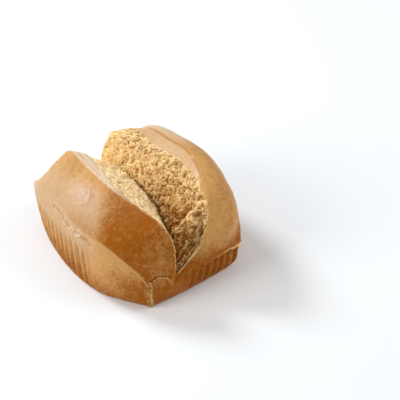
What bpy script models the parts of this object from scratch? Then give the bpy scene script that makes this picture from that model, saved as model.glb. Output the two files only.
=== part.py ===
"""Brown sugar bun: a steamed bun raised in a pleated paper case and burst open along its top.

One solid.  X runs across the split, Y along it, Z up; the bun rests on a flat underside at Z = 0.
Lengths are written in millimetres and turned into metres when the mesh is made.
"""
import math

import bmesh
import bpy
import numpy as np
from mathutils import Vector, noise

MM = 0.001

# Rows of faces along the split.
ROWS = 72

# Heights of the rows of the wall, from 0 at the underside to 1 at the rim.
WALL_HEIGHTS = (0.0, 0.07, 0.22, 0.42, 0.62, 0.82, 1.0)

# Where along the rows the stations of the guide lines lie, near end first.
STATION_ROWS = (0.0, 0.10, 0.20, 0.33, 0.53, 0.72, 0.86, 1.0)

# Guide lines over the top of the bun, one point (x, y, z) for each station.
LEFT_RIM = (
    (-22.5, -50.0, 13.0), (-26.5, -45.5, 21.5), (-31.0, -37.0, 27.5), (-34.5, -25.0, 31.5),
    (-37.0, -5.0, 34.0), (-36.7, 17.0, 33.7), (-35.2, 38.0, 32.6), (-30.5, 52.5, 27.0),
)
LEFT_RIDGE = (
    (-13.0, -52.5, 12.0), (-8.2, -51.5, 22.0), (-8.0, -50.0, 37.0), (-10.2, -41.0, 44.8),
    (-13.8, -9.0, 46.4), (-13.6, 20.0, 46.3), (-13.5, 40.0, 46.6), (-10.0, 54.5, 19.0),
)
CLEFT = (
    (-8.0, -52.5, 11.5), (-6.0, -49.5, 15.5), (-3.5, -44.0, 18.0), (2.0, -33.0, 24.0),
    (7.5, -9.0, 32.0), (9.0, 15.0, 34.0), (9.0, 34.5, 30.8), (10.0, 47.5, 15.0),
)
RIGHT_SKIN_EDGE = (
    (-5.0, -52.8, 12.0), (4.0, -51.8, 21.8), (13.0, -50.0, 34.0), (19.5, -42.5, 46.5),
    (27.0, -14.0, 50.0), (24.8, 12.0, 49.2), (24.0, 34.0, 48.7), (19.0, 55.5, 18.0),
)
RIGHT_CREASE = (
    (1.5, -53.5, 12.0), (9.5, -53.5, 22.0), (17.0, -51.0, 35.0), (23.5, -40.5, 48.5),
    (33.5, -11.0, 51.5), (34.0, 10.0, 50.3), (31.0, 31.0, 47.5), (26.0, 56.0, 18.0),
)
RIGHT_RIM = (
    (37.0, -50.5, 12.0), (42.0, -44.5, 20.0), (46.0, -36.0, 22.0), (48.5, -24.0, 23.0),
    (50.0, -4.0, 24.0), (50.0, 18.0, 24.0), (46.0, 38.0, 22.0), (38.0, 52.0, 18.0),
)

# Outline of the foot of the wall, one point (x, y) for each station of the two long sides.
LEFT_BASE = (
    (-22.3, -50.3), (-28.5, -41.5), (-33.3, -34.0), (-38.0, -24.0),
    (-40.5, -6.0), (-39.2, 14.0), (-34.8, 34.0), (-26.0, 51.0),
)
RIGHT_BASE = (
    (34.0, -48.3), (36.5, -40.0), (38.5, -32.0), (39.5, -22.0),
    (40.5, -4.0), (40.5, 16.0), (37.5, 35.0), (31.0, 48.5),
)
NEAR_BOW = 1.5
FAR_BOW = 3.0

# Smooth skin between the left ridge and the torn edge of the crumb.
LIP_WIDTH = 0.8
BAND_WIDTH = 6.5
BAND_DROP = 1.5
FAR_BAND_DROP = 4.5

# Panels between the guide lines: columns of faces, how far the panel swells past a flat one at
# each of SWELL_ROWS, and how far the fullest part lies toward the panel's far side.
SWELL_ROWS = (0.0, 0.2, 0.5, 0.88, 1.0)
PANELS = (
    (10, (0.5, 2.5, 2.5, 0.8, -2.5), 0.9),
    (2, (0.0, 0.3, 0.5, 0.5, 0.0), 1.0),
    (8, (0.0, 0.5, 1.2, -1.5, -0.5), 1.0),
    (14, (0.0, -1.5, 1.2, 6.5, 2.0), 2.0),
    (4, (0.0, 0.8, 0.8, 0.5, 0.5), 1.0),
    (18, (1.0, 7.5, 8.3, 7.0, 2.0), 0.8),
)
COLUMNS = sum(panel[0] for panel in PANELS)
LEFT_CRUMB = 2
RIGHT_CRUMB = 3

# The wall: rounding at its foot and how far it swells between foot and rim.
FOOT_ROUND = 3.0
FOOT_INSET = 1.2
BELLY = 1.2

# Pleats pressed into the wall by the paper case, and the part of the left wall with none.
PLEAT_PITCH = 5.2
PLEAT_DEPTH = 1.5
PLEAT_LEAN = 0.2
PLEAT_FOOT = 0.5
CASE_HEIGHT = 21.0
SMOOTH_WALL_END = -20.0

# The wall counts as a long side or an end by where it lies from the bun's corners.
CORNER_SLOPE = 0.72
CORNER_WIDTH = 6.0

# Torn crumb, and the lump standing out of its right face near the near end.
CRAG_DEPTH = 2.0
CRAG_SIZE = 5.5
LUMP_HEIGHT = 3.0
LUMP_ROW = 0.30
LUMP_ROW_SPREAD = 0.035
LUMP_ACROSS = 0.62
LUMP_ACROSS_SPREAD = 0.22

# Slow unevenness of the skin.
WAVE_DEPTH = 0.5
WAVE_SIZE = 17.0
SMOOTHING_ROUNDS = 3


def smooth_step(low, high, value):
    """0 below the first value, 1 above the second, an even rise between."""
    t = min(max((value - low) / (high - low), 0.0), 1.0)
    return t * t * (3.0 - 2.0 * t)


def station_slope(points, at):
    """Direction of a guide line at one of its stations."""
    low = max(at - 1, 0)
    high = min(at + 1, len(points) - 1)
    return (points[high] - points[low]) / (STATION_ROWS[high] - STATION_ROWS[low])


def smooth_line(line, row):
    """Point at a row, 0 to 1, of the smooth line through a guide line's stations."""
    points = [np.array(point) for point in line]
    first = 0
    while first < len(STATION_ROWS) - 2 and row > STATION_ROWS[first + 1]:
        first += 1
    span = STATION_ROWS[first + 1] - STATION_ROWS[first]
    t = (row - STATION_ROWS[first]) / span
    leaving = station_slope(points, first) * span
    arriving = station_slope(points, first + 1) * span
    end_share = 3.0 * t**2 - 2.0 * t**3
    return (
        points[first] * (1.0 - end_share) + points[first + 1] * end_share
        + leaving * (t**3 - 2.0 * t**2 + t) + arriving * (t**3 - t**2)
    )


def band_line(row):
    """Torn edge of the left lobe's skin: a thin lip near by, a band of skin toward the far end."""
    width = BAND_WIDTH * smooth_step(0.4, 0.8, row) * (1.0 - 0.6 * smooth_step(0.9, 1.0, row))
    drop = BAND_DROP * width / BAND_WIDTH + FAR_BAND_DROP * smooth_step(0.72, 0.9, row)
    return smooth_line(LEFT_RIDGE, row) + np.array((LIP_WIDTH + width, 0.0, -drop))


def guide_point(number, row):
    """Point of a guide line, the lines counted from the left rim to the right rim."""
    if number == 2:
        return band_line(row)
    lines = (LEFT_RIM, LEFT_RIDGE, None, CLEFT, RIGHT_SKIN_EDGE, RIGHT_CREASE, RIGHT_RIM)
    return smooth_line(lines[number], row)


def guide_run(number, row):
    """Direction of a guide line at a row."""
    step = 0.01
    run = guide_point(number, min(row + step, 1.0)) - guide_point(number, max(row - step, 0.0))
    return run / np.linalg.norm(run)


def panel_place(column):
    """Panel a column lies in, and how far across that panel."""
    panel = 0
    while column > PANELS[panel][0]:
        column -= PANELS[panel][0]
        panel += 1
    return panel, column / PANELS[panel][0]


def top_point(column, row):
    """Point of the top, and the way out of it."""
    panel, across = panel_place(column)
    start = guide_point(panel, row)
    end = guide_point(panel + 1, row)
    run = guide_run(panel, row) * (1.0 - across) + guide_run(panel + 1, row) * across
    out = np.cross(end - start, run)
    out /= np.linalg.norm(out)
    full = across ** PANELS[panel][2]
    swell = np.interp(row, SWELL_ROWS, PANELS[panel][1]) * 4.0 * full * (1.0 - full)
    return start * (1.0 - across) + end * across + out * swell, out


def foot_point(column, row):
    """Point of the foot outline below a point of the rim."""
    left = smooth_line(LEFT_BASE, row)
    right = smooth_line(RIGHT_BASE, row)
    if column == 0:
        return left
    if column == COLUMNS:
        return right
    rim = top_point(column, row)[0]
    first = guide_point(0, row)
    last = guide_point(6, row)
    along = (rim[0] - first[0]) / (last[0] - first[0])
    bow = 4.0 * along * (1.0 - along) * (-NEAR_BOW if row < 0.5 else FAR_BOW)
    return left * (1.0 - along) + right * along + np.array((0.0, bow))


def wall_point(column, row, height):
    """Point of the wall between the foot outline and the rim, and the way out of it."""
    rim = top_point(column, row)[0]
    flat = rim[:2] * height + foot_point(column, row) * (1.0 - height)
    out = flat / np.linalg.norm(flat)
    rise = rim[2] * height
    inset = FOOT_INSET * (1.0 - min(rise / FOOT_ROUND, 1.0)) ** 2
    flat = flat + out * (BELLY * math.sin(math.pi * height) - inset)
    return np.array((flat[0], flat[1], rise)), np.array((out[0], out[1], 0.0))


def crag(place, panel, across, row):
    """How far the torn crumb stands out of its face."""
    fade = smooth_step(0.0, 0.12, across) * smooth_step(0.0, 0.1, 1.0 - across)
    if panel == LEFT_CRUMB:
        fade = smooth_step(0.0, 0.2, across)
    rough = noise.noise(Vector(place) / CRAG_SIZE)
    rise = CRAG_DEPTH * fade * rough * smooth_step(0.02, 0.12, row)
    if panel == RIGHT_CRUMB:
        along = (row - LUMP_ROW) / LUMP_ROW_SPREAD
        aside = (across - LUMP_ACROSS) / LUMP_ACROSS_SPREAD
        rise += LUMP_HEIGHT * math.exp(-along**2 - aside**2)
    return rise


def pleat(place):
    """How far the paper case has pressed the wall in, and along which way."""
    x, y, z = place
    side = smooth_step(-CORNER_WIDTH / 2.0, CORNER_WIDTH / 2.0, abs(x) - abs(y) * CORNER_SLOPE)
    fade = smooth_step(CASE_HEIGHT, CASE_HEIGHT - PLEAT_PITCH, z) * smooth_step(PLEAT_FOOT, FOOT_ROUND, z)
    if x < 0.0:
        fade *= smooth_step(SMOOTH_WALL_END, SMOOTH_WALL_END + PLEAT_PITCH, y)
    if side > 0.5:
        along = y
        inward = Vector((-math.copysign(1.0, x), 0.0, 0.0))
    else:
        along = x
        inward = Vector((0.0, -math.copysign(1.0, y), 0.0))
    wave = 0.5 - 0.5 * math.cos(2.0 * math.pi * (along - PLEAT_LEAN * z) / PLEAT_PITCH)
    return inward * PLEAT_DEPTH * wave * fade * abs(2.0 * side - 1.0)


def ring_cuts(bm, axis, cuts):
    """Cut every edge that runs along an axis into equal lengths, all the way round."""
    edges = [
        edge for edge in bm.edges
        if abs((edge.verts[0].co - edge.verts[1].co).normalized()[axis]) > 0.99
    ]
    bmesh.ops.subdivide_edges(bm, edges=edges, cuts=cuts, use_grid_fill=True)


def make_bun():
    """The bun's mesh in metres, and the shift in millimetres that centres it over the origin."""
    bm = bmesh.new()
    bmesh.ops.create_cube(bm, size=2.0)
    ring_cuts(bm, 0, COLUMNS - 1)
    ring_cuts(bm, 1, ROWS - 1)
    ring_cuts(bm, 2, len(WALL_HEIGHTS) - 2)
    underside = [face for face in bm.faces if face.normal.z < -0.5]
    bmesh.ops.dissolve_faces(bm, faces=underside, use_verts=False)
    bmesh.ops.delete(bm, geom=[vert for vert in bm.verts if not vert.link_faces], context="VERTS")

    skin = []
    for vert in bm.verts:
        column = round((vert.co.x + 1.0) / 2.0 * COLUMNS)
        row = (vert.co.y + 1.0) / 2.0
        level = round((vert.co.z + 1.0) / 2.0 * (len(WALL_HEIGHTS) - 1))
        height = WALL_HEIGHTS[level]
        panel, across = panel_place(column)
        if height == 1.0:
            place, out = top_point(column, row)
            if panel in (LEFT_CRUMB, RIGHT_CRUMB) and 0.0 < row < 1.0:
                place = place + out * crag(place, panel, across, row)
            elif 0.0 < across < 1.0:
                place = place + out * WAVE_DEPTH * noise.noise(Vector(place) / WAVE_SIZE)
        else:
            place, out = wall_point(column, row, height)
        vert.co = Vector(place)
        on_top = height == 1.0
        crumb = on_top and panel in (LEFT_CRUMB, RIGHT_CRUMB)
        left_corner = column == 0 and row in (0.0, 1.0)
        edge_line = on_top and (column == 0 or panel in (0, 1) and across == 1.0)
        if level > 0 and not crumb and not left_corner and not edge_line:
            skin.append(vert)

    for _ in range(SMOOTHING_ROUNDS):
        bmesh.ops.smooth_vert(
            bm, verts=skin, factor=0.5, use_axis_x=True, use_axis_y=True, use_axis_z=True
        )
    for vert in bm.verts:
        vert.co += pleat(vert.co)

    xs = [vert.co.x for vert in bm.verts]
    ys = [vert.co.y for vert in bm.verts]
    shift = Vector((-(min(xs) + max(xs)) / 2.0, -(min(ys) + max(ys)) / 2.0, 0.0))
    bmesh.ops.translate(bm, verts=bm.verts, vec=shift)
    bmesh.ops.scale(bm, verts=bm.verts, vec=(MM, MM, MM))
    mesh = bpy.data.meshes.new("brown_sugar_bun")
    bm.to_mesh(mesh)
    bm.free()
    return mesh, shift


for item in list(bpy.data.objects):
    bpy.data.objects.remove(item, do_unlink=True)

bun_mesh, bun_shift = make_bun()
bun = bpy.data.objects.new("brown_sugar_bun", bun_mesh)
collection = bpy.data.collections.new("brown_sugar_bun")
bpy.context.scene.collection.children.link(collection)
collection.objects.link(bun)

steamed_skin = bpy.data.materials.new("steamed_skin")
steamed_skin.use_nodes = True
shader = steamed_skin.node_tree.nodes["Principled BSDF"]
shader.inputs["Base Color"].default_value = (0.58, 0.34, 0.14, 1.0)
shader.inputs["Roughness"].default_value = 0.45
bun.data.materials.append(steamed_skin)
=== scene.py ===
import math

import bpy
import numpy as np
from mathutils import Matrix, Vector, kdtree, noise


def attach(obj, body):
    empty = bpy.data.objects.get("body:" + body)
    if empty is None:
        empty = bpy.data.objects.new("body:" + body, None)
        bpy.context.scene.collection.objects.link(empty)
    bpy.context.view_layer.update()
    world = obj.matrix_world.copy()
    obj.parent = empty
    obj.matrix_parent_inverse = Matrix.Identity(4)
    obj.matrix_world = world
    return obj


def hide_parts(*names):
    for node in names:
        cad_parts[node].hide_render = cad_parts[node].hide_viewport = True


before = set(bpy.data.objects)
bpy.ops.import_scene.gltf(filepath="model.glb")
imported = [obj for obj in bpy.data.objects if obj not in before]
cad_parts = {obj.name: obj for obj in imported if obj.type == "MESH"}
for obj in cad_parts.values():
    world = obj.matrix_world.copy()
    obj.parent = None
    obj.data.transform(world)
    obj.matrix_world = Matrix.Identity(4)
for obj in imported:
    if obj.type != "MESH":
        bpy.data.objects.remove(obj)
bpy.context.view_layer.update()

# The skin.  The bun is one lump of yeasted dough, sweetened with brown sugar and steamed in a
# rectangular case of pleated paper.  It rises over the case's edge, and its steamed skin bursts
# open along the top.  The case is peeled off, and its pleats stay printed in the wall.
MM = 0.001
CENTRE = (-5.31, -0.34, 0.0)

# Where the form turns: points (x, y, z) in millimetres along lines that run from the near end of
# the bun to its far end, each point at one of the stations.
STATIONS = np.array((0.0, 0.10, 0.20, 0.33, 0.53, 0.72, 0.86, 1.0))
LEFT_RIM = np.array((
    (-22.5, -50.0, 13.0), (-26.5, -45.5, 21.5), (-31.0, -37.0, 27.5), (-34.5, -25.0, 31.5),
    (-37.0, -5.0, 34.0), (-36.7, 17.0, 33.7), (-35.2, 38.0, 32.6), (-30.5, 52.5, 27.0),
))
LEFT_RIDGE = np.array((
    (-13.0, -52.5, 12.0), (-8.2, -51.5, 22.0), (-8.0, -50.0, 37.0), (-10.2, -41.0, 44.8),
    (-13.8, -9.0, 46.4), (-13.6, 20.0, 46.3), (-13.5, 40.0, 46.6), (-10.0, 54.5, 19.0),
))
CLEFT = np.array((
    (-8.0, -52.5, 11.5), (-6.0, -49.5, 15.5), (-3.5, -44.0, 18.0), (2.0, -33.0, 24.0),
    (7.5, -9.0, 32.0), (9.0, 15.0, 34.0), (9.0, 34.5, 30.8), (10.0, 47.5, 15.0),
))
RIGHT_EDGE = np.array((
    (-5.0, -52.8, 12.0), (4.0, -51.8, 21.8), (13.0, -50.0, 34.0), (19.5, -42.5, 46.5),
    (27.0, -14.0, 50.0), (24.8, 12.0, 49.2), (24.0, 34.0, 48.7), (19.0, 55.5, 18.0),
))
RIGHT_CREASE = np.array((
    (1.5, -53.5, 12.0), (9.5, -53.5, 22.0), (17.0, -51.0, 35.0), (23.5, -40.5, 48.5),
    (33.5, -11.0, 51.5), (34.0, 10.0, 50.3), (31.0, 31.0, 47.5), (26.0, 56.0, 18.0),
))
RIGHT_RIM = np.array((
    (37.0, -50.5, 12.0), (42.0, -44.5, 20.0), (46.0, -36.0, 22.0), (48.5, -24.0, 23.0),
    (50.0, -4.0, 24.0), (50.0, 18.0, 24.0), (46.0, 38.0, 22.0), (38.0, 52.0, 18.0),
))
LEFT_FOOT = np.array((
    (-22.3, -50.3), (-28.5, -41.5), (-33.3, -34.0), (-38.0, -24.0),
    (-40.5, -6.0), (-39.2, 14.0), (-34.8, 34.0), (-26.0, 51.0),
))
RIGHT_FOOT = np.array((
    (34.0, -48.3), (36.5, -40.0), (38.5, -32.0), (39.5, -22.0),
    (40.5, -4.0), (40.5, 16.0), (37.5, 35.0), (31.0, 48.5),
))

# Between those lines the dough swells: how much at each of SWELL_ROWS, and how skewed across.
SWELL_ROWS = (0.0, 0.2, 0.5, 0.88, 1.0)
LEFT_ROOF, LEFT_BAND, LEFT_CRUMB, RIGHT_CRUMB, CRESCENT, RIGHT_DOME = range(6)
SWELLS = (
    ((0.5, 2.5, 2.5, 0.8, -2.5), 0.9),
    ((0.0, 0.3, 0.5, 0.5, 0.0), 1.0),
    ((0.0, 0.5, 1.2, -1.5, -0.5), 1.0),
    ((0.0, -1.5, 1.2, 6.5, 2.0), 2.0),
    ((0.0, 0.8, 0.8, 0.5, 0.5), 1.0),
    ((1.0, 7.5, 8.3, 7.0, 2.0), 0.8),
)


def ease(low, high, value):
    """0 at low, 1 at high, with an even start and end; low may be the larger."""
    t = np.clip((value - low) / (high - low), 0.0, 1.0)
    return t * t * (3.0 - 2.0 * t)


def along_line(points, rows):
    """Smooth line through a form line's stations, at rows from 0 to 1."""
    slopes = np.empty_like(points)
    slopes[1:-1] = (points[2:] - points[:-2]) / (STATIONS[2:] - STATIONS[:-2])[:, None]
    slopes[0] = (points[1] - points[0]) / (STATIONS[1] - STATIONS[0])
    slopes[-1] = (points[-1] - points[-2]) / (STATIONS[-1] - STATIONS[-2])
    first = np.clip(np.searchsorted(STATIONS, rows) - 1, 0, len(STATIONS) - 2)
    span = (STATIONS[first + 1] - STATIONS[first])[:, None]
    t = (rows - STATIONS[first])[:, None] / span
    share = 3.0 * t**2 - 2.0 * t**3
    return (
        points[first] * (1.0 - share) + points[first + 1] * share
        + slopes[first] * span * (t**3 - 2.0 * t**2 + t) + slopes[first + 1] * span * (t**3 - t**2)
    )


# A band of smooth skin lies between the left ridge and the torn edge below it.
BAND_WIDTH = 6.5
BAND_SLOPE = 0.23
BAND_SAG = 4.5


def form_line(number, rows):
    """The form lines in order: left rim, ridge, torn edge, cleft, torn edge, crease, right rim."""
    if number == 2:
        width = BAND_WIDTH * ease(0.4, 0.8, rows) * (1.0 - 0.6 * ease(0.9, 1.0, rows))
        drop = width * BAND_SLOPE + BAND_SAG * ease(0.72, 0.9, rows)
        return along_line(LEFT_RIDGE, rows) + np.column_stack((0.5 + width, 0.0 * rows, -drop))
    lines = (LEFT_RIM, LEFT_RIDGE, None, CLEFT, RIGHT_EDGE, RIGHT_CREASE, RIGHT_RIM)
    return along_line(lines[number], rows)


def form_run(number, rows):
    """Direction of a form line."""
    run = form_line(number, np.minimum(rows + 0.01, 1.0)) - form_line(number, np.maximum(rows - 0.01, 0.0))
    return run / np.linalg.norm(run, axis=1)[:, None]


def top_of_dough(panel, across, rows):
    """Places on the top in one panel between two form lines, and the way out of the dough there."""
    start, end = form_line(panel, rows), form_line(panel + 1, rows)
    run = form_run(panel, rows) * (1.0 - across) + form_run(panel + 1, rows) * across
    out = np.cross(end - start, run)
    out /= np.linalg.norm(out, axis=1)[:, None]
    swells, skew = SWELLS[panel]
    full = across**skew
    swell = np.interp(rows, SWELL_ROWS, swells) * 4.0 * full * (1.0 - full)
    return start * (1.0 - across) + end * across + out * swell[:, None], out


FORM_COLUMNS = (10, 2, 4, 5, 4, 18)
ALL_COLUMNS = sum(FORM_COLUMNS)
FORM_ROWS = 72
WALL_HEIGHTS = (1.0, 0.82, 0.62, 0.42, 0.22, 0.07, 0.0)
WALL_BELLY = 1.2
FOOT_INSET = 1.2
FOOT_ROUNDING = 3.0
NEAR_END_BOW = 1.5
FAR_END_BOW = 3.0


def wall_of_dough(column, rows, height):
    """Places on the wall under one column of the rim, height 0 at the foot and 1 at the rim."""
    first, last = form_line(0, rows), form_line(6, rows)
    left, right = along_line(LEFT_FOOT, rows), along_line(RIGHT_FOOT, rows)
    if column == 0:
        rim, foot = first, left
    elif column == ALL_COLUMNS:
        rim, foot = last, right
    else:
        panel, across = column_place(column)
        rim = top_of_dough(panel, across, rows)[0]
        share = ((rim[:, 0] - first[:, 0]) / (last[:, 0] - first[:, 0]))[:, None]
        bow = 4.0 * share * (1.0 - share) * np.where(rows < 0.5, -NEAR_END_BOW, FAR_END_BOW)[:, None]
        foot = left * (1.0 - share) + right * share + bow * np.array((0.0, 1.0))
    flat = rim[:, :2] * height + foot * (1.0 - height)
    rise = rim[:, 2] * height
    out = flat / np.linalg.norm(flat, axis=1)[:, None]
    inset = FOOT_INSET * (1.0 - np.minimum(rise / FOOT_ROUNDING, 1.0)) ** 2
    flat = flat + out * (WALL_BELLY * math.sin(math.pi * height) - inset)[:, None]
    return np.column_stack((flat, rise))


def column_place(column):
    """Panel that a column of the form lies in, and how far across it."""
    for panel, count in enumerate(FORM_COLUMNS):
        if column <= count:
            return panel, column / count
        column -= count


def select_only(piece):
    """Makes one piece the only one selected."""
    bpy.ops.object.select_all(action="DESELECT")
    piece.select_set(True)
    bpy.context.view_layer.objects.active = piece


def select_border():
    """Goes into edit mode with only the open border of the active piece selected."""
    bpy.ops.object.mode_set(mode="EDIT")
    bpy.ops.mesh.select_mode(type="EDGE")
    bpy.ops.mesh.select_all(action="DESELECT")
    bpy.ops.mesh.select_non_manifold()


def select_marked(piece, kind, marked):
    """Goes into edit mode with only the marked points, or faces, of a piece selected."""
    select_only(piece)
    bpy.ops.object.mode_set(mode="EDIT")
    bpy.ops.mesh.select_mode(type=kind)
    bpy.ops.mesh.select_all(action="DESELECT")
    bpy.ops.object.mode_set(mode="OBJECT")
    parts = piece.data.vertices if kind == "VERT" else piece.data.polygons
    parts.foreach_set("select", marked)
    bpy.ops.object.mode_set(mode="EDIT")


def read_points(mesh, what="co"):
    """Vertex places or normals of a mesh as rows of numbers."""
    values = np.empty(len(mesh.vertices) * 3)
    if what == "co":
        mesh.vertices.foreach_get("co", values)
    else:
        mesh.vertex_normals.foreach_get("vector", values)
    return values.reshape(-1, 3)


def write_points(mesh, points):
    """Moves the vertices of a mesh to new places."""
    mesh.vertices.foreach_set("co", np.ascontiguousarray(points, dtype=np.float64).ravel())
    mesh.update()


def paint(mesh, name, values):
    """Keeps one number for each vertex, for the material to read."""
    layer = mesh.attributes.new(name, "FLOAT", "POINT")
    layer.data.foreach_set("value", np.ascontiguousarray(values, dtype=np.float32))


# A flat sheet is turned down at its border for the wall, then every point goes to its place on
# the dough.
bpy.ops.object.select_all(action="DESELECT")
bpy.ops.mesh.primitive_grid_add(x_subdivisions=ALL_COLUMNS, y_subdivisions=FORM_ROWS, size=2.0)
skin = bpy.context.object
skin.name = "steamed_skin"
select_border()
for _ in WALL_HEIGHTS[1:]:
    bpy.ops.mesh.extrude_region_move(TRANSFORM_OT_translate={"value": (0.0, 0.0, -1.0)})
bpy.ops.object.mode_set(mode="OBJECT")

FIRST_TORN = sum(FORM_COLUMNS[:LEFT_CRUMB])
CLEFT_COLUMN = sum(FORM_COLUMNS[:RIGHT_CRUMB])
LAST_TORN = sum(FORM_COLUMNS[:CRESCENT])
NOTCH_ROW = 6 / FORM_ROWS
NOTCH_GAP = 0.12
NOTCH_RUN = 0.0625
TAIL_ROW = 70 / FORM_ROWS
ROWS_LENGTH = 110.0


def drawn_to_notch(placed, rows):
    """The opening's places, with its two torn edges drawn together where the split begins."""
    share = np.minimum(NOTCH_GAP + np.abs(rows - NOTCH_ROW) / NOTCH_RUN, 1.0)[:, None]
    return placed * share + form_line(3, rows) * (1.0 - share)


def grain(points, size, seed=0.0):
    """Even noise from -1 to 1 at each point, its lumps of about the size given."""
    shifted = points / size + seed
    return np.array([noise.noise(Vector(point)) for point in shifted])


def wander(rows, on_left, gap):
    """How far the torn edge strays toward or from the cleft, on skin or crumb near to it."""
    edge = np.column_stack((rows * ROWS_LENGTH, 0.0 * rows + np.where(on_left, 0.0, 40.0), 0.0 * rows))
    stray = 0.9 * grain(edge, 4.5, 5.0) + 0.6 * grain(edge, 1.7, 9.0) + 0.35 * grain(edge, 0.9, 13.0)
    return np.where(on_left, 1.0, -1.0) * stray * ease(NOTCH_ROW, 0.12, rows) * ease(3.5, 0.0, gap)


sheet = read_points(skin.data)
columns = np.rint((sheet[:, 0] + 1.0) / 2.0 * ALL_COLUMNS).astype(int)
rows = (sheet[:, 1] + 1.0) / 2.0
levels = np.rint(-sheet[:, 2]).astype(int)
placed = np.empty_like(sheet)
for column in range(ALL_COLUMNS + 1):
    panel, across = column_place(column)
    for level, height in enumerate(WALL_HEIGHTS):
        here = (columns == column) & (levels == level)
        if not here.any():
            continue
        if level > 0:
            placed[here] = wall_of_dough(column, rows[here], height)
        else:
            placed[here] = top_of_dough(panel, across, rows[here])[0]
            if FIRST_TORN <= column <= LAST_TORN:
                placed[here] = drawn_to_notch(placed[here], rows[here])
write_points(skin.data, placed)
paint(skin.data, "column", columns)
paint(skin.data, "row", rows)
paint(skin.data, "level", levels)

# Skin is drawn smooth over the form, but its torn edges, its ridge, its rim and the near left
# corner stay sharp.
held = (levels == 0) & (columns >= FIRST_TORN - 2) & (columns <= LAST_TORN)
held |= (columns == 0) & ((rows < 0.001) | (levels == 0)) & (rows < 0.95)
held |= levels == len(WALL_HEIGHTS) - 1
select_marked(skin, "VERT", ~held)
bpy.ops.mesh.vertices_smooth(factor=0.5, repeat=3)
bpy.ops.object.mode_set(mode="OBJECT")

# The opening: faces between the torn edges, from the notch at the near end to the far end.  They
# take the second material, and the edges that stay sharp are creased.
wide = (columns >= FIRST_TORN) & (columns <= LAST_TORN) & (levels == 0)
wide &= (rows > NOTCH_ROW - 0.001) & (rows < TAIL_ROW + 0.001)
skin.data.materials.append(None)
skin.data.materials.append(None)
for face in skin.data.polygons:
    face.material_index = int(all(wide[corner] for corner in face.vertices))
sides_in = {}
for face in skin.data.polygons:
    if face.material_index == 1:
        for pair in face.edge_keys:
            sides_in[pair] = sides_in.get(pair, 0) + 1
sharp = np.zeros(len(skin.data.edges))
for edge in skin.data.edges:
    a, b = edge.vertices
    top = levels[a] == 0 and levels[b] == 0
    if sides_in.get(edge.key) == 1:
        sharp[edge.index] = 1.0
    elif columns[a] == columns[b] == 0 and top:
        sharp[edge.index] = 0.6 * float(ease(1.0, 0.8, max(rows[a], rows[b])))
    elif columns[a] == columns[b] == 0 and rows[a] == rows[b] == 0.0:
        sharp[edge.index] = 0.8
    elif columns[a] == columns[b] == FIRST_TORN - 2 and top and rows[a] > 0.35:
        sharp[edge.index] = 0.4
skin.data.attributes.new("crease_edge", "FLOAT", "EDGE").data.foreach_set("value", sharp)

rounding = skin.modifiers.new("rounding", "SUBSURF")
rounding.levels = 2
rounding.render_levels = 2
select_only(skin)
bpy.ops.object.modifier_apply(modifier="rounding")
select_border()
bpy.ops.mesh.edge_face_add()
bpy.ops.object.mode_set(mode="OBJECT")


def painted(mesh, name):
    """Numbers kept for each vertex."""
    values = np.empty(len(mesh.vertices), dtype=np.float32)
    mesh.attributes[name].data.foreach_get("value", values)
    return values.astype(float)


def beside(points, line):
    """How far points are from a line, share of the way along it, and on which side of it they
    are as seen from the near end: more than 0 on the left of its run."""
    line = np.array(line)
    gap = np.full(len(points), 1e9)
    along = np.zeros(len(points))
    side = np.zeros(len(points))
    for number in range(len(line) - 1):
        start = line[number]
        run = line[number + 1] - start
        t = np.clip((points - start) @ run / (run @ run), 0.0, 1.0)
        offset = points - start - t[:, None] * run
        distance = np.linalg.norm(offset, axis=1)
        nearer = distance < gap
        gap[nearer] = distance[nearer]
        along[nearer] = (number + t[nearer]) / (len(line) - 1)
        turn = run[0] * offset[:, 2] - run[2] * offset[:, 0]
        side[nearer] = (distance * np.sign(turn))[nearer]
    return gap, along, side


# From here the fine skin is shaped in millimetres, point by point along its normals.
places = read_points(skin.data)
normals = read_points(skin.data, "normal")
column = painted(skin.data, "column")
row = painted(skin.data, "row")
level = painted(skin.data, "level")
top = level < 0.01
opened = np.zeros(len(places), dtype=bool)
skinned = np.zeros(len(places), dtype=bool)
for face in skin.data.polygons:
    corners = list(face.vertices)
    if face.material_index == 1:
        opened[corners] = True
    else:
        skinned[corners] = True
torn_edge = np.flatnonzero(opened & skinned)
under_crumb = opened & ~skinned
tree = kdtree.KDTree(len(torn_edge))
for order, index in enumerate(torn_edge):
    tree.insert(places[index], order)
tree.balance()
torn_gap = np.array([tree.find(point)[2] for point in places])

# The paper's pleats: narrow grooves between rounded flutes, none on the smooth swelling by the
# near left corner.
PLEAT_PITCH = 5.2
PLEAT_DEPTH = 1.9
PLEAT_SLANT = 0.2
x, y, z = places.T
flat_out = normals[:, :2] / np.maximum(np.linalg.norm(normals[:, :2], axis=1), 1e-6)[:, None]
facing = np.abs(flat_out[:, 0]) - np.abs(flat_out[:, 1])
long_side = facing > 0.0
on_left = long_side & (x < 0.0)
on_near = ~long_side & (y < 0.0)
run_along = np.where(long_side, y, x) - PLEAT_SLANT * z
run_along = run_along + 0.9 * grain(np.column_stack((run_along, 0.0 * x, 0.0 * x)), 9.0, 3.0)
flute = 1.0 - np.abs(np.sin(math.pi * run_along / PLEAT_PITCH)) ** 0.8
case_edge = np.where(on_left, 25.0, 17.5) + 1.5 * grain(places, 7.0, 8.0)
pleat = flute * ease(0.15, 0.5, np.abs(facing)) * ease(0.3, 2.5, z)
pleat *= ease(case_edge, case_edge - np.where(on_left, 8.0, 5.0), z)
pleat *= np.where(on_left, ease(-22.0, -11.0, y), 1.0) * np.where(on_near, ease(-9.0, 8.0, x), 1.0)
pleat *= ease(0.75, 0.35, np.abs(normals[:, 2])) * ~under_crumb
depth = PLEAT_DEPTH * pleat

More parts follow.
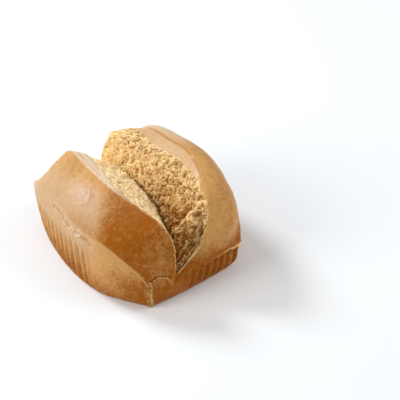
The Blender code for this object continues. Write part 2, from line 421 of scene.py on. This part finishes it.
# Where the dough swelled out over the case's edge the skin split: a crack along the near end,
# a flap beside the near left corner, and a crack down that corner.
CASE_CRACK = (
    (3.5, -53.0, 16.6), (6.6, -53.3, 17.0), (10.9, -54.1, 18.5), (17.8, -53.8, 17.9),
    (22.1, -52.7, 17.7), (28.4, -51.4, 16.9), (32.6, -49.8, 15.1), (37.5, -49.0, 14.6),
)
FLAP = (
    (-22.1, -49.4, 16.1), (-21.4, -49.5, 17.2), (-19.3, -50.0, 18.5), (-16.7, -50.8, 18.7),
    (-12.4, -51.9, 17.2), (-11.4, -52.2, 14.6), (-9.7, -52.4, 12.0), (-10.5, -52.7, 10.3),
    (-11.9, -52.8, 9.0),
)
CORNER_CRACK = ((-22.2, -49.6, 15.6), (-23.0, -50.1, 11.6), (-23.2, -50.7, 7.9), (-22.7, -50.7, 1.5))
jagged = places + 0.5 * np.column_stack([grain(places, 1.8, seed) for seed in (14.0, 28.0, 42.0)])
gap, along, side = beside(jagged, CASE_CRACK)
reach = ease(0.0, 0.25, along) * ease(4.0, 2.0, np.abs(y - np.clip(y, -56.0, -46.0)))
band_width = 0.35 + 2.3 * along**2
low = ease(0.1 - band_width, -0.5 - band_width, side) * ease(-13.0, -4.0, side) * (side > -13.0)
torn = reach * ease(0.15, -0.1, side) * ease(-0.2 - band_width, 0.2 - band_width, side)
torn *= ease(0.25, 0.5, along)
ragged = grain(places, 0.9, 66.0)
depth += reach * ((0.3 + 0.9 * along) * low + 0.9 * ease(0.55, 0.1, gap)) + torn * (0.4 * ragged - 0.2)
depth -= 0.45 * reach * ease(0.1, 0.5, side) * ease(3.0, 0.8, side)
gap, along, side = beside(jagged, FLAP)
end = ease(0.0, 0.06, along) * ease(1.0, 0.8, along)
depth -= 0.45 * end * ease(0.1, -0.25, side) * ease(-5.0, -1.5, side)
depth += 1.1 * ease(0.0, 0.05, along) * ease(0.62, 0.5, along) * ease(0.75, 0.0, np.abs(side - 0.25))
torn = np.maximum(torn, 0.7 * end * ease(-0.5, -0.2, side) * ease(0.1, -0.1, side))
gap = beside(jagged, CORNER_CRACK)[0]
depth += (1.1 + 0.9 * ragged) * ease(1.2, 0.3, gap) - 0.45 * ease(2.4, 1.3, gap) * ease(0.7, 1.2, gap)
torn = np.maximum(torn, ease(1.4, 0.8, gap) * ease(0.6, -0.3, ragged))

# A crease parts the thin new skin beside the crumb from the skin of the dome.
CREASE_ROWS = (0.405, 0.417, 0.439, 0.478, 0.539, 0.617)
CREASE_ACROSS = (0.0, 0.4, 0.72, 0.85, 0.93, 0.98)
CREASE_DEPTH = 0.4
past_crease = column - LAST_TORN - FORM_COLUMNS[CRESCENT] * np.interp(row, CREASE_ROWS, CREASE_ACROSS)
crease = ease(0.45, 0.05, np.abs(past_crease)) * top * ease(0.40, 0.42, row) * ease(0.92, 0.84, row)
depth += CREASE_DEPTH * crease

# Scuffs, flakes and folds under the left rim, wrinkles where the left roof shines, and small pits.
SCUFFS = (
    (-36.9, 21.0, 32.0), (-37.3, 11.0, 32.5), (-38.2, 4.4, 29.0), (-38.2, -1.3, 28.7),
    (-37.5, -10.1, 29.0), (-36.5, -17.2, 28.6),
)
gap = beside(jagged, SCUFFS)[0]
scuff = ease(0.7, 0.15, gap) * ease(-0.3, 0.0, grain(places, 3.0, 71.0))
depth += 0.6 * scuff
stretched = places * np.array((1.0, 0.5, 1.0))
flaky = ease(3.4, 1.4, gap) * (0.25 + 0.75 * ease(10.0, 5.0, y) * ease(-14.0, -9.0, y)) * ~opened
depth -= 0.3 * flaky * ease(0.05, 0.3, grain(stretched, 0.9, 80.0))
rim_drop = np.maximum(level, 0.0) * (z < 34.0) * on_left
folds = ease(0.1, 0.6, rim_drop) * ease(2.2, 1.2, rim_drop) * ease(0.3, 0.5, row)
depth += 0.35 * folds * grain(places * np.array((1.0, 0.12, 1.0)), 1.6, 90.0)
shine_length = np.where(y < 3.5, 7.0, 11.0)
shine = np.exp(-(((x + 25.5) / 6.5) ** 2) - ((y - 3.5) / shine_length) ** 2)
shine *= top * ease(10.0, 6.0, column)
wrinkled = np.exp(-(((x + 22.0) / 4.0) ** 2) - ((y + 1.0) / 5.0) ** 2) * top * (column < 9.0)
depth += 0.30 * wrinkled * np.abs(grain(places * np.array((1.0, 0.7, 1.0)), 1.9, 33.0))
depth += 0.17 * shine * grain(places, 1.25, 58.0)
depth += 0.10 * grain(places, 1.5, 12.0) + 0.22 * grain(places, 5.0, 19.0)
pits = ease(0.60, 0.72, grain(places, 1.7, 44.0)) * ~opened
depth += 0.55 * pits


def spot(at, size):
    """1 on a small spot of the skin, 0 beyond its size."""
    return ease(size, 0.4 * size, np.linalg.norm(jagged - np.array(at), axis=1))


# One nick by the ridge, pricks in the left wall, and rough blisters on the crease.
nick = spot((-14.2, 0.2, 46.8), 1.6)
depth += 0.7 * nick
pricks = sum(spot(at, 0.9) for at in ((-33.8, -33.7, 17.7), (-28.0, -44.2, 8.2), (-38.9, -11.5, 17.8)))
depth += 0.7 * pricks
blisters = sum(spot(at, 1.7) for at in ((33.2, -12.1, 51.5), (30.0, 35.0, 47.6)))
depth += blisters * (0.5 * grain(places, 0.9, 77.0) - 0.35)
torn = np.maximum(torn, 0.7 * blisters)

# The band beside the left crumb has stretch marks and two thin cracks.  Torn edges wander and lift
# a little, and the dough under the crumb lies deeper than any hole in it.
BED_DEPTH = 4.2
BED_SLOPE = 3.5
band = top * ease(9.6, 10.3, column) * ease(12.6, 12.0, column) * ease(0.42, 0.6, row)
depth += 0.22 * band * grain(places * np.array((1.0, 0.08, 1.0)), 1.1, 55.0)
band_run = np.column_stack((row * ROWS_LENGTH, 0.0 * row, 3.0 * column))
outer_mark = ease(0.2, 0.1, np.abs(column - 10.75)) * ease(-0.1, 0.25, grain(band_run, 7.0, 17.0))
inner_mark = ease(0.2, 0.1, np.abs(column - 11.5)) * ease(0.0, 0.3, grain(band_run, 5.0, 29.0))
marks = band * np.maximum(outer_mark, inner_mark)
depth += 0.25 * marks
depth -= (0.3 - 0.2 * ease(0.35, 0.5, row)) * ease(1.6, 0.0, torn_gap)
depth = np.where(under_crumb, BED_DEPTH * ease(0.0, BED_SLOPE, torn_gap), depth)
places = places - normals * depth[:, None]
places[:, 0] += wander(row, column < CLEFT_COLUMN, torn_gap)

# The skin's tones: deeper brown on the near half of the left roof and darker low down at the near end,
# with painted shade on the faces that look toward the near end and low on the walls by the foot.  Paler
# where the skin is new, with a painted sheen on the left lobe's lit upper faces and at the near end of its
# roof, and painted highlights on the dome's crown and along the left rim.
browning_and_shade = top * ease(0.45, 0.33 - 0.01 * column, row - 0.022 * column) * (column < 12.5)
browning_and_shade = np.maximum(browning_and_shade, ease(-20.0, -46.0, y) * ease(26.0, 12.0, z) * (x < 30.0))
# Painted shade: the faces that look toward the near end are darker.
browning_and_shade = np.maximum(browning_and_shade, on_near * ease(32.0, 16.0, z) * 1.12)
browning_and_shade = np.maximum(browning_and_shade, 0.5 * shine)
browning_and_shade = np.maximum(browning_and_shade, 0.4 * top * ease(4.0, 0.5, column) * ease(0.30, 0.38, row) * ease(0.72, 0.55, row))
dome = top * ease(LAST_TORN + 4.0, LAST_TORN + 9.0, column) * ease(0.9, 0.6, row)
browning_and_shade = np.maximum(browning_and_shade, 0.32 * dome)
crown = top * ease(LAST_TORN + 3.6, LAST_TORN + 5.0, column) * ease(LAST_TORN + 14.0, LAST_TORN + 8.0, column)
# Painted sheen: a paler patch at the near end of the left roof.
browning_and_shade = browning_and_shade - 0.34 * top * np.exp(-(((x + 15.0) / 7.0) ** 2) - ((y + 49.0) / 6.0) ** 2)
# Painted shade: the walls darken low down toward the foot.
browning_and_shade = np.maximum(browning_and_shade, 0.75 * ease(np.where(on_left, 18.0, 22.0), 2.0, z) * ~top)
crescent = top * (column > LAST_TORN - 0.2) * ease(0.2, -0.1, past_crease) * ease(0.40, 0.42, row)
pale = np.maximum(band, 0.4 * crescent) * ease(1.0, 0.86, row)
pale = np.maximum(pale, 0.6 * crescent * ease(0.52, 0.44, row))
# Painted highlight: the dome's crown is paler along its top.
pale = np.maximum(pale, 0.75 * crown * ease(0.55, 0.85, row))
# Painted sheen: the left lobe's upper faces, where the light falls, turn greyer and paler.
painted_sheen = 0.6 * ease(-16.0, -32.0, x) * ease(-30.0, -8.0, y) * ease(12.0, 26.0, z) * ease(0.9, 0.0, browning_and_shade)
# Painted highlight: a thin bright line along the left rim.
rim_highlight = ease(0.6, 0.0, column) * ease(0.25, 0.0, level) * ease(0.40, 0.34, row)
tones = {
    "browning_and_shade": browning_and_shade,
    "pale": pale,
    "painted_sheen": painted_sheen,
    "torn": torn,
    "crease": np.maximum(np.maximum(crease, scuff), pricks),
    "flaky": np.maximum(flaky, 0.6 * nick),
    "shine": np.maximum(shine, 0.7 * crown * ease(0.62, 0.8, row) * ease(1.0, 0.9, row)),
    # Painted shade in the grooves of the pleats, stronger on the near end than on the left.
    "pleat": pleat * np.where(on_left, 0.5, 1.0),
    "marks": marks,
    # Torn edges are paler, and the painted highlight along the left rim joins them.
    "torn_lip_and_rim_highlight": np.maximum(ease(0.8, 0.0, torn_gap) * ~under_crumb, 0.9 * rim_highlight),
}
for name, values in tones.items():
    paint(skin.data, name, np.clip(values, 0.0, 1.0))
places[:, 2] = np.maximum(places[:, 2], 0.0)
write_points(skin.data, (places + np.array(CENTRE)) * MM)

# The torn edge shows its thickness.
EDGE_THICKNESS = 0.7
select_marked(skin, "FACE", np.array([face.material_index == 1 for face in skin.data.polygons]))
bpy.ops.mesh.extrude_region_shrink_fatten(TRANSFORM_OT_shrink_fatten={"value": -EDGE_THICKNESS * MM})
bpy.ops.object.mode_set(mode="OBJECT")
bpy.ops.object.shade_smooth()


class Value:
    """One number or colour on its way through a material's nodes."""

    def __init__(self, finish, socket):
        self.finish = finish
        self.socket = socket

    def worked(self, operation, *others):
        sockets = dict(enumerate((self, *others)))
        return self.finish.node("ShaderNodeMath", {"operation": operation}, sockets)

    def __add__(self, other):
        return self.worked("ADD", other)

    __radd__ = __add__

    def __sub__(self, other):
        return self.worked("SUBTRACT", other)

    def __rsub__(self, other):
        return self.finish.node("ShaderNodeMath", {"operation": "SUBTRACT"}, {0: other, 1: self})

    def __mul__(self, other):
        return self.worked("MULTIPLY", other)

    __rmul__ = __mul__


class Finish:
    """One material: its nodes, and the shader that they feed."""

    def __init__(self, name):
        self.material = bpy.data.materials.new(name)
        self.material.use_nodes = True
        self.nodes = self.material.node_tree.nodes
        self.shader = self.nodes["Principled BSDF"]

    def node(self, kind, settings=None, sockets=None, output=0):
        """Any node: its settings first, then the values or links of its sockets."""
        made = self.nodes.new(kind)
        for key, setting in (settings or {}).items():
            setattr(made, key, setting)
        for key, value in (sockets or {}).items():
            self.feed(made.inputs[key], value)
        return Value(self, made.outputs[output])

    def feed(self, socket, value):
        """Links a value to a socket, or sets a plain number or colour on it."""
        if isinstance(value, Value):
            self.material.node_tree.links.new(value.socket, socket)
        else:
            socket.default_value = value

    def surface(self, sockets):
        """Feeds the shader's own sockets."""
        for name, value in sockets.items():
            self.feed(self.shader.inputs[name], value)

    def painted(self, name):
        """The numbers that were painted on the piece under one name."""
        return self.node("ShaderNodeAttribute", {"attribute_name": name}, output=2)

    def mottle(self, scale, detail=3.0, roughness=0.5, shift=0.0, stretch=(1.0, 1.0, 1.0)):
        """Uneven blotches from 0 to 1 all through the piece, scale of them to a metre."""
        place = self.node("ShaderNodeTexCoord", output=3)
        moved = self.node(
            "ShaderNodeMapping", {},
            {"Vector": place, "Location": (shift, shift, shift), "Scale": stretch},
        )
        return self.node(
            "ShaderNodeTexNoise", {},
            {"Vector": moved, "Scale": scale, "Detail": detail, "Roughness": roughness},
        )

    def between(self, low, high, value):
        """0 at low, 1 at high, with an even start and end."""
        return self.node(
            "ShaderNodeMapRange", {"interpolation_type": "SMOOTHSTEP"},
            {"Value": value, "From Min": low, "From Max": high},
        )

    def mixed(self, share, first, second):
        """One colour laid over another by a share from 0 to 1."""
        return self.node(
            "ShaderNodeMix", {"data_type": "RGBA"}, {0: share, 6: first, 7: second}, output=2
        )


steamed = Finish("steamed_skin")
tan = (0.588, 0.317, 0.110, 1.0)
# This brown serves both as the skin's deeper brown and as painted shade.
brown = (0.31, 0.088, 0.003, 1.0)
# A greyer tan for the painted sheen on the left lobe.
sheen_tan = (0.53, 0.375, 0.24, 1.0)
# Pale new skin, also the colour of the painted highlight on the dome's crown.
new_skin_and_highlight = (0.82, 0.65, 0.48, 1.0)
crease_brown = (0.50, 0.19, 0.03, 1.0)
# Painted shade in the grooves of the pleats.
groove_shade_brown = (0.34, 0.12, 0.02, 1.0)
# Pale torn edges, also the colour of the painted highlight along the left rim.
torn_and_highlight_tan = (0.78, 0.52, 0.24, 1.0)
flake_white = (0.82, 0.68, 0.52, 1.0)
broad = steamed.mottle(55.0, 3.0, 0.5)
middling = steamed.mottle(240.0, 3.0, 0.6, 0.3)
streaks = steamed.mottle(420.0, 2.0, 0.6, 0.5, stretch=(0.4, 1.0, 0.6))
pores = steamed.mottle(850.0, 4.0, 0.7, 0.7)
scales = steamed.between(0.53, 0.60, steamed.mottle(600.0, 2.0, 0.5, 0.9, stretch=(1.0, 0.6, 1.0)))
flakes = steamed.painted("flaky") * scales
# The deeper share is partly the skin's own brown and partly painted shade.
browned_and_shaded = steamed.painted("browning_and_shade")
tone = browned_and_shaded * 0.92 + (broad - 0.40) * 0.5 + (middling - 0.5) * 0.5 + (pores - 0.5) * 1.7
tone = tone + (streaks - 0.5) * (0.35 + browned_and_shaded * 0.5)
skin_colour = steamed.mixed(tone, tan, brown)
# Laid over it: a painted sheen, painted highlights, painted shade in the pleats, and the skin's own marks.
for name, strength, over in (
    ("painted_sheen", 1.0, sheen_tan), ("pale", broad * 0.6 + 0.5, new_skin_and_highlight), ("pleat", 0.4, groove_shade_brown),
    ("crease", 0.7, crease_brown), ("torn_lip_and_rim_highlight", 0.6, torn_and_highlight_tan), ("torn", 0.9, torn_and_highlight_tan),
    ("marks", 0.45, crease_brown), ("flaky", scales * 0.75, flake_white),
):
    skin_colour = steamed.mixed(steamed.painted(name) * strength, skin_colour, over)
skin_roughness = 0.40 - steamed.painted("shine") * 0.10 + (middling - 0.5) * 0.25
skin_roughness = skin_roughness + steamed.painted("torn") * 0.4
glints = steamed.between(0.42, 0.62, pores)
skin_relief = steamed.node(
    "ShaderNodeBump", {}, {"Height": pores + middling + flakes, "Strength": 0.40, "Distance": 0.0004}
)
steamed.surface({
    "Base Color": skin_colour,
    "Roughness": skin_roughness,
    "Coat Weight": steamed.painted("shine") * (glints * 0.58 + 0.40) + 0.02,
    "Coat Roughness": 0.40,
    "Normal": skin_relief,
    "Subsurface Weight": 0.2,
    "Subsurface Radius": (1.0, 0.45, 0.2),
    "Subsurface Scale": 0.002,
    "Specular IOR Level": 0.06,
})
skin.data.materials[0] = steamed.material
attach(skin, "root")
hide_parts("brown_sugar_bun")


# The crumb.  Where the skin bursts, the risen dough pulls apart into a spongy, matt, lighter
# brown crumb full of small torn holes.  It is one body under the skin and shows in the cleft.
LEFT_CRUMB_COLUMNS = 60
RIGHT_CRUMB_COLUMNS = 120
CRUMB_COLUMNS = LEFT_CRUMB_COLUMNS + RIGHT_CRUMB_COLUMNS
CRUMB_ROWS = 400
TUCKED_COLUMNS = 2
LEFT_FACE_WIDTH = 16.0
RIGHT_FACE_WIDTH = 30.0
SKIN_LAP = 0.35
bpy.ops.object.select_all(action="DESELECT")
bpy.ops.mesh.primitive_grid_add(x_subdivisions=CRUMB_COLUMNS, y_subdivisions=CRUMB_ROWS, size=2.0)
crumb = bpy.context.object
crumb.name = "torn_crumb"
sheet = read_points(crumb.data)
columns = np.rint((sheet[:, 0] + 1.0) / 2.0 * CRUMB_COLUMNS).astype(int)
rows = NOTCH_ROW - 0.006 + (sheet[:, 1] + 1.0) / 2.0 * (TAIL_ROW - NOTCH_ROW + 0.012)
placed = np.empty_like(sheet)
outs = np.empty_like(sheet)
sides = np.zeros(len(sheet))
for column in range(CRUMB_COLUMNS + 1):
    here = columns == column
    right_face = column >= LEFT_CRUMB_COLUMNS
    toward = 1.0 if right_face else -1.0
    if right_face:
        panel, face_columns = RIGHT_CRUMB, RIGHT_CRUMB_COLUMNS
        across = (column - LEFT_CRUMB_COLUMNS) / (RIGHT_CRUMB_COLUMNS - TUCKED_COLUMNS)
    else:
        panel, face_columns = LEFT_CRUMB, LEFT_CRUMB_COLUMNS
        across = (column - TUCKED_COLUMNS) / (LEFT_CRUMB_COLUMNS - TUCKED_COLUMNS)
    inner = min(max(across, 0.0), 1.0)
    shown, outs[here] = top_of_dough(panel, inner, rows[here])
    placed[here] = drawn_to_notch(shown, np.maximum(rows[here], NOTCH_ROW))
    sides[here] = inner if right_face else inner - 1.0
    to_skin = 1.0 - inner if right_face else inner
    to_skin_mm = to_skin * (RIGHT_FACE_WIDTH if right_face else LEFT_FACE_WIDTH)
    placed[here, 0] += wander(rows[here], not right_face, to_skin_mm)
    lap = SKIN_LAP * ease(0.92, 1.0, 1.0 - to_skin) * ease(0.38, 0.5, rows[here])
    placed[here, 0] += toward * lap
    if inner != across:
        # The border columns are tucked under the skin, less so where the left lip is thin.
        steps = np.rint(abs(across - inner) * face_columns)
        aside = np.array((toward * 0.35, 0.0, -0.8))
        tucked = aside * (1.0 - np.abs(outs[here, 1:2])) - 0.9 * outs[here]
        thin = (ease(0.46, 0.38, rows[here]) * (not right_face))[:, None]
        placed[here] += steps * (tucked * (1.0 - thin) + thin * (0.5 * aside - 0.2 * outs[here]))

# Crags, clumps between torn pockets, holes, and a fine grain, each smaller than the last.  The
# crumb tears across the split on the right face and along it on the left one.
on_right = sides > 0.0
edge_fade = ease(-1.0, -0.88, sides) * ease(1.0, 0.95, sides)
lengthwise = rows * ROWS_LENGTH
crosswise = sides * np.where(on_right, RIGHT_FACE_WIDTH, LEFT_FACE_WIDTH)
torn_run = np.column_stack((
    lengthwise / np.where(on_right, 0.68, 1.35),
    crosswise / np.where(on_right, 1.4, 0.8),
    0.45 * placed[:, 2],
))
warp = np.column_stack([grain(placed, 3.2, seed) for seed in (11.0, 23.0, 37.0)])
torn_run = torn_run + 1.1 * warp
crag = grain(placed, 5.5)
clump = grain(torn_run, 2.6, 5.0)
tuft = np.abs(grain(torn_run, 1.5, 15.0)) - 0.25
fibre = grain(torn_run, 0.8, 25.0)
speck = grain(torn_run, 0.45, 35.0)
holes = ease(0.14, 0.42, 0.55 * grain(torn_run, 1.7, 51.0) + 0.45 * grain(torn_run, 0.85, 61.0))
hollows = ease(0.2, 0.42, grain(torn_run, 3.1, 71.0)) * on_right
chunk = ease(0.08, 0.25, sides) * ease(0.82, 0.66, sides)

# What stands out of the right face near its low end: a lump with a lit edge, a shadow behind it,
# a pore and a groove beside the skin.  A crevice runs along the bottom of the cleft.
lump_at = rows + 0.012 * crag + 0.006 * clump
lump = chunk * ease(0.352, 0.322, lump_at) * ease(0.21, 0.31, lump_at)
shadow = chunk * np.exp(-(((lump_at - 0.362) / 0.016) ** 2))
pore = np.exp(-((rows - 0.313) / 0.010) ** 2 - ((sides - 0.76) / 0.045) ** 2)
groove = np.exp(-((rows - 0.235) / 0.045) ** 2 - ((sides - 0.84) / 0.05) ** 2)
crevice = np.exp(-((crosswise - 0.4 + 0.6 * clump) / 0.8) ** 2)
crevice *= ease(0.76, 0.66, rows + 0.05 * crag) * ease(0.12, 0.2, rows)

# All of them together raise or sink the crumb, and sink it at both ends of the opening.
rough = (0.9 * clump + 1.8 * tuft) * ease(1.3, 0.75, rows) + 0.65 * fibre + 0.35 * speck
narrow = np.minimum(NOTCH_GAP + (rows - NOTCH_ROW) / NOTCH_RUN, 1.0)
rise = edge_fade * narrow * (1.1 * crag + rough - 1.3 * holes - 1.0 * hollows - 2.4 * crevice)
rise += 3.6 * lump - 1.0 * shadow - 1.4 * pore - 1.2 * groove + 0.3 * ease(0.30, 0.45, rows)
rise *= np.where(on_right, 1.0, 0.8 - 0.5 * ease(0.36, 0.26, rows))
ends = ease(0.0, 0.010, rows - NOTCH_ROW) * ease(0.0, 0.012, TAIL_ROW - rows)
rise -= 1.4 * (1.0 - ends)
placed = placed + outs * rise[:, None]

# Painted shade darkens the low places, torn pockets, holes, hollows and the crevice, and the low end of the
# cleft; the lump's lit edge and the proud tufts are painted lighter, as where light falls on them.
lit_edge = chunk * np.exp(-(((lump_at - 0.322) / 0.014) ** 2))
pocket_shade = 0.2 - 1.0 * rough + 0.9 * holes + 0.45 * hollows + pore + 0.6 * groove + crevice + 0.4 * shadow
pocket_shade = (pocket_shade - 0.3 * lit_edge) * np.where(on_right, 1.0, 0.65)
pocket_shade -= 0.19 * ease(0.5, 0.7, rows) * ease(1.0, 0.85, rows)
shade = ease(0.72, 0.32, rows) * ease(1.1, 0.2, sides) + 0.16 * ease(0.76, 0.9, rows)
shade = (shade * on_right - 0.8 * lit_edge) * (1.0 - 0.7 * ease(0.1, 0.7, rough + 0.5 * speck))
paint(crumb.data, "pocket_shade", np.clip(pocket_shade, 0.0, 1.0))
paint(crumb.data, "shade", np.clip(shade, 0.0, 1.0))
# Painted light: the crumb's left face is made paler, as where light falls on it.
paint(crumb.data, "left_face_light", ease(0.02, -0.08, sides) * ease(0.2, 0.4, rows))
write_points(crumb.data, (placed + np.array(CENTRE)) * MM)

# The crumb's body goes on under the skin down to a flat base inside the bun.
BASE_HEIGHT = 6.0
select_border()
bpy.ops.mesh.extrude_region_move(TRANSFORM_OT_translate={"value": (0.0, 0.0, 0.0)})
bpy.ops.transform.resize(value=(0.82, 0.84, 0.0), center_override=(3.0 * MM, 0.0, BASE_HEIGHT * MM))
bpy.ops.mesh.edge_face_add()
bpy.ops.mesh.select_all(action="SELECT")
bpy.ops.mesh.normals_make_consistent(inside=False)
bpy.ops.object.mode_set(mode="OBJECT")
bpy.ops.object.shade_smooth()

sponge = Finish("torn_crumb")
crumb_tan = (0.94, 0.675, 0.335, 1.0)
# Painted shade for the crumb's pockets, holes and crevice.
pocket_shade_brown = (0.29, 0.10, 0.006, 1.0)
shaded_brown = (0.41, 0.165, 0.014, 1.0)
# Cream for the painted light on the crumb's left face.
left_face_light_cream = (0.95, 0.75, 0.47, 1.0)
fine_pores = sponge.mottle(900.0, 4.0, 0.65)
crumb_colour = sponge.mixed(sponge.painted("shade"), crumb_tan, shaded_brown)
# Painted light on the left face.
crumb_colour = sponge.mixed(sponge.painted("left_face_light") * 0.5, crumb_colour, left_face_light_cream)
# Painted shade in the pockets, holes and crevice, over the rest.
pocket_shaded = sponge.painted("pocket_shade") * 0.8 + (fine_pores - 0.5) * 0.6
crumb_colour = sponge.mixed(pocket_shaded, crumb_colour, pocket_shade_brown)
crumb_relief = sponge.node(
    "ShaderNodeBump", {}, {"Height": fine_pores, "Strength": 0.5, "Distance": 0.0004}
)
sponge.surface({
    "Base Color": crumb_colour,
    "Roughness": 0.85,
    "Normal": crumb_relief,
    "Subsurface Weight": 0.2,
    "Subsurface Radius": (1.0, 0.45, 0.2),
    "Subsurface Scale": 0.002,
    "Specular IOR Level": 0.04,
})
skin.data.materials[1] = sponge.material
crumb.data.materials.append(sponge.material)
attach(crumb, "root")
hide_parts("brown_sugar_bun")


# The floor, the lights and the camera.  The bun stands on a plain pale floor in soft daylight from
# behind it, with two weaker soft lights that fill the shadows on its left and at its near end.
# The camera looks down at its near left corner through a long lens.
bpy.ops.object.select_all(action="DESELECT")
bpy.ops.mesh.primitive_plane_add(size=6.0, location=(0.0, 0.0, 0.0))
floor = bpy.context.object
floor.name = "floor"
pale_floor = Finish("pale_floor")
pale_floor.surface({"Base Color": (0.86, 0.875, 0.89, 1.0), "Roughness": 0.7})
floor.data.materials.append(pale_floor.material)


BUN_MIDDLE = Vector((0.0, 0.0, 0.03))


def soft_light(name, place, size, power, colour, mirrored=True):
    """A round soft light that points at the middle of the bun."""
    lamp = bpy.data.lights.new(name, "AREA")
    lamp.shape = "DISK"
    lamp.size = size
    lamp.energy = power
    lamp.color = colour
    holder = bpy.data.objects.new(name, lamp)
    bpy.context.scene.collection.objects.link(holder)
    holder.location = place
    holder.rotation_euler = (BUN_MIDDLE - holder.location).to_track_quat("-Z", "Y").to_euler()
    holder.visible_glossy = mirrored


soft_light("back_light", (-0.21, 0.82, 0.70), 0.35, 8.0, (0.87, 0.94, 1.0))
soft_light("left_light", (-0.95, 0.20, 0.55), 0.7, 6.3, (1.0, 0.98, 0.95), mirrored=False)
soft_light("front_light", (0.8, -0.6, 0.6), 0.9, 6.0, (1.0, 0.98, 0.96), mirrored=False)
sky = bpy.data.worlds.new("studio")
bpy.context.scene.world = sky
sky.use_nodes = True
sky_light = sky.node_tree.nodes["Background"].inputs
sky_light["Color"].default_value = (1.0, 1.0, 1.0, 1.0)
sky_light["Strength"].default_value = 0.42
bpy.context.scene.view_settings.view_transform = "Standard"

eye = Vector((-0.3090, -0.4679, 0.4555))
aim = Vector((0.0487, 0.0086, 0.0))
lens = bpy.data.cameras.new("camera")
lens.lens = 116.4
lens.sensor_width = 36.0
lens.clip_start = 0.01
camera = bpy.data.objects.new("camera", lens)
bpy.context.scene.collection.objects.link(camera)
camera.location = eye
camera.rotation_euler = (aim - eye).to_track_quat("-Z", "Y").to_euler()
bpy.context.scene.camera = camera
